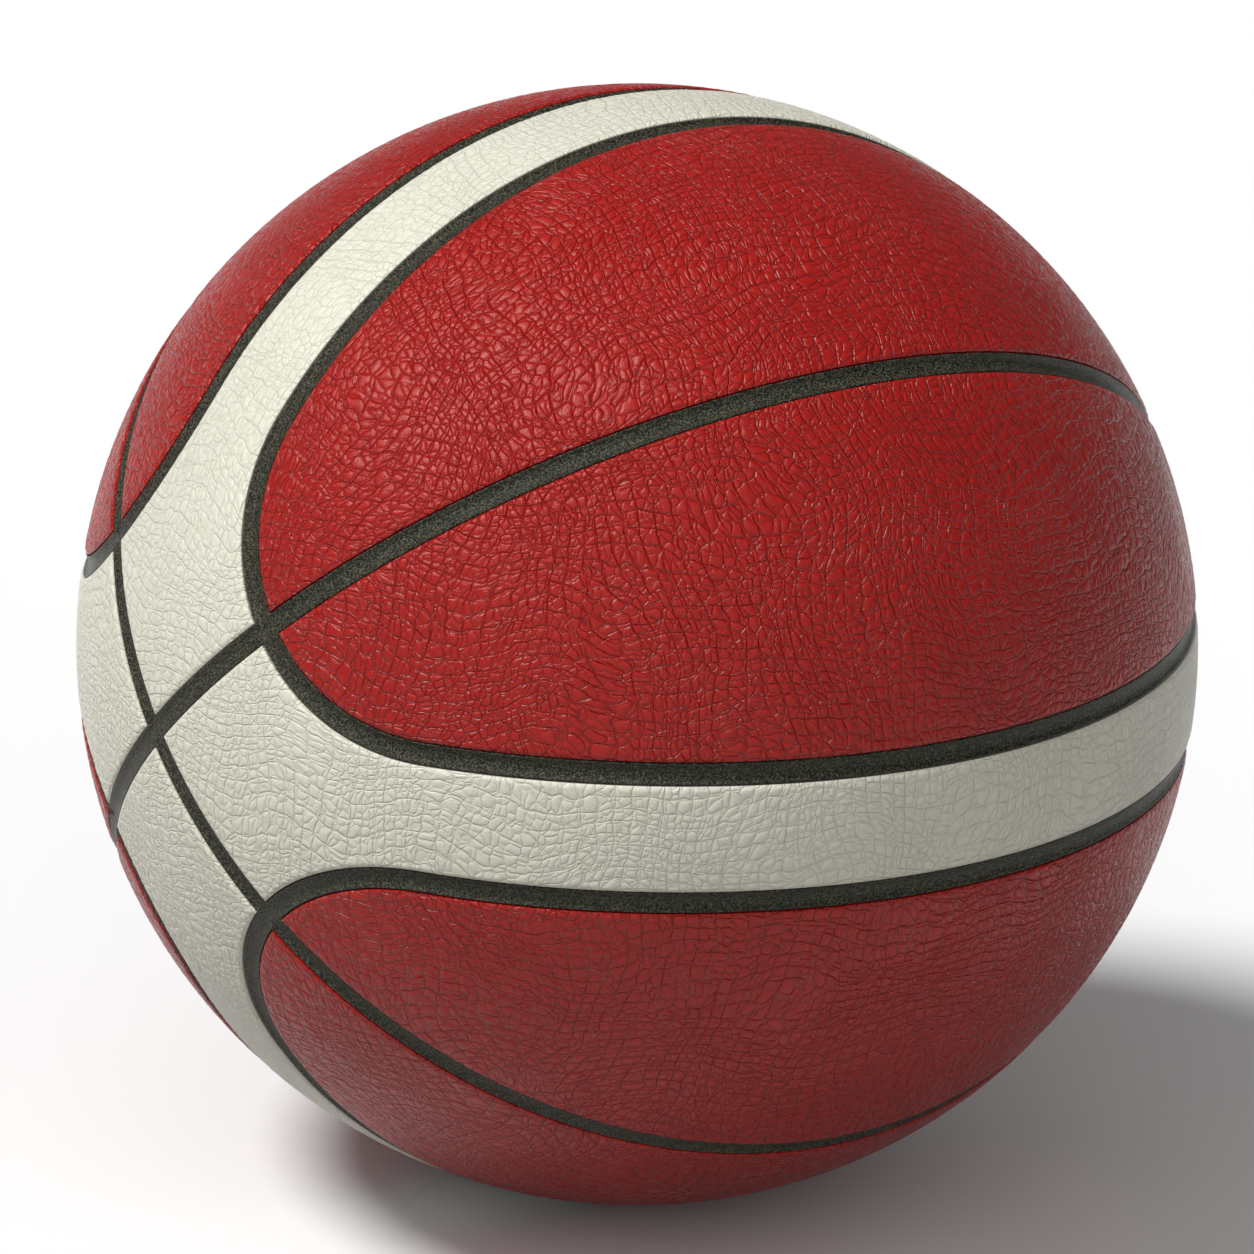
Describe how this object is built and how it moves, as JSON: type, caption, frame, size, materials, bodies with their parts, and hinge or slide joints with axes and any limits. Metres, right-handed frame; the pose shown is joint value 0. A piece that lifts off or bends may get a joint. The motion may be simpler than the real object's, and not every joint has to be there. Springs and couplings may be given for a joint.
{
  "type": "basketball",
  "caption": "Laminated basketball with red and off-white cover panels between recessed rubber channels, over a thread-wound bladder with a needle valve whose core pulls out.",
  "frame": {"origin": "centre of the ball", "axes": "+X through a crossing of the two full-circle channels, +Y out of the ball along the valve's axis, +Z through the middle of an off-white band"},
  "size_m": [0.2418, 0.2419, 0.242],
  "materials": {
    "bladder_rubber": "satin",
    "patch_rubber": "matte",
    "valve_rubber": "satin",
    "core_rubber": "satin",
    "nylon_thread": "matte",
    "carcass_rubber": "matte",
    "red_cover": "pebbled",
    "cream_cover": "pebbled"
  },
  "bodies": {
    "ball": {"bladder": "bladder_rubber", "valve_patch": "patch_rubber", "valve_housing": "valve_rubber", "thread_winding": "nylon_thread", "carcass": "carcass_rubber", "red_panel_top_front": "red_cover", "red_panel_top_back": "red_cover", "red_panel_front_upper": "red_cover", "red_panel_front_lower": "red_cover", "red_panel_bottom_front": "red_cover", "red_panel_bottom_back": "red_cover", "red_panel_back_upper": "red_cover", "red_panel_back_lower": "red_cover", "cream_panel_top": "cream_cover", "cream_panel_front": "cream_cover", "cream_panel_bottom": "cream_cover", "cream_panel_back": "cream_cover"},
    "valve_core": {"valve_core": "core_rubber"}
  },
  "joints": [
    {"name": "valve_core_pull", "type": "slide", "parent": "ball", "child": "valve_core", "axis": [0, 1, 0], "range_m": [0, 0.018]}
  ]
}
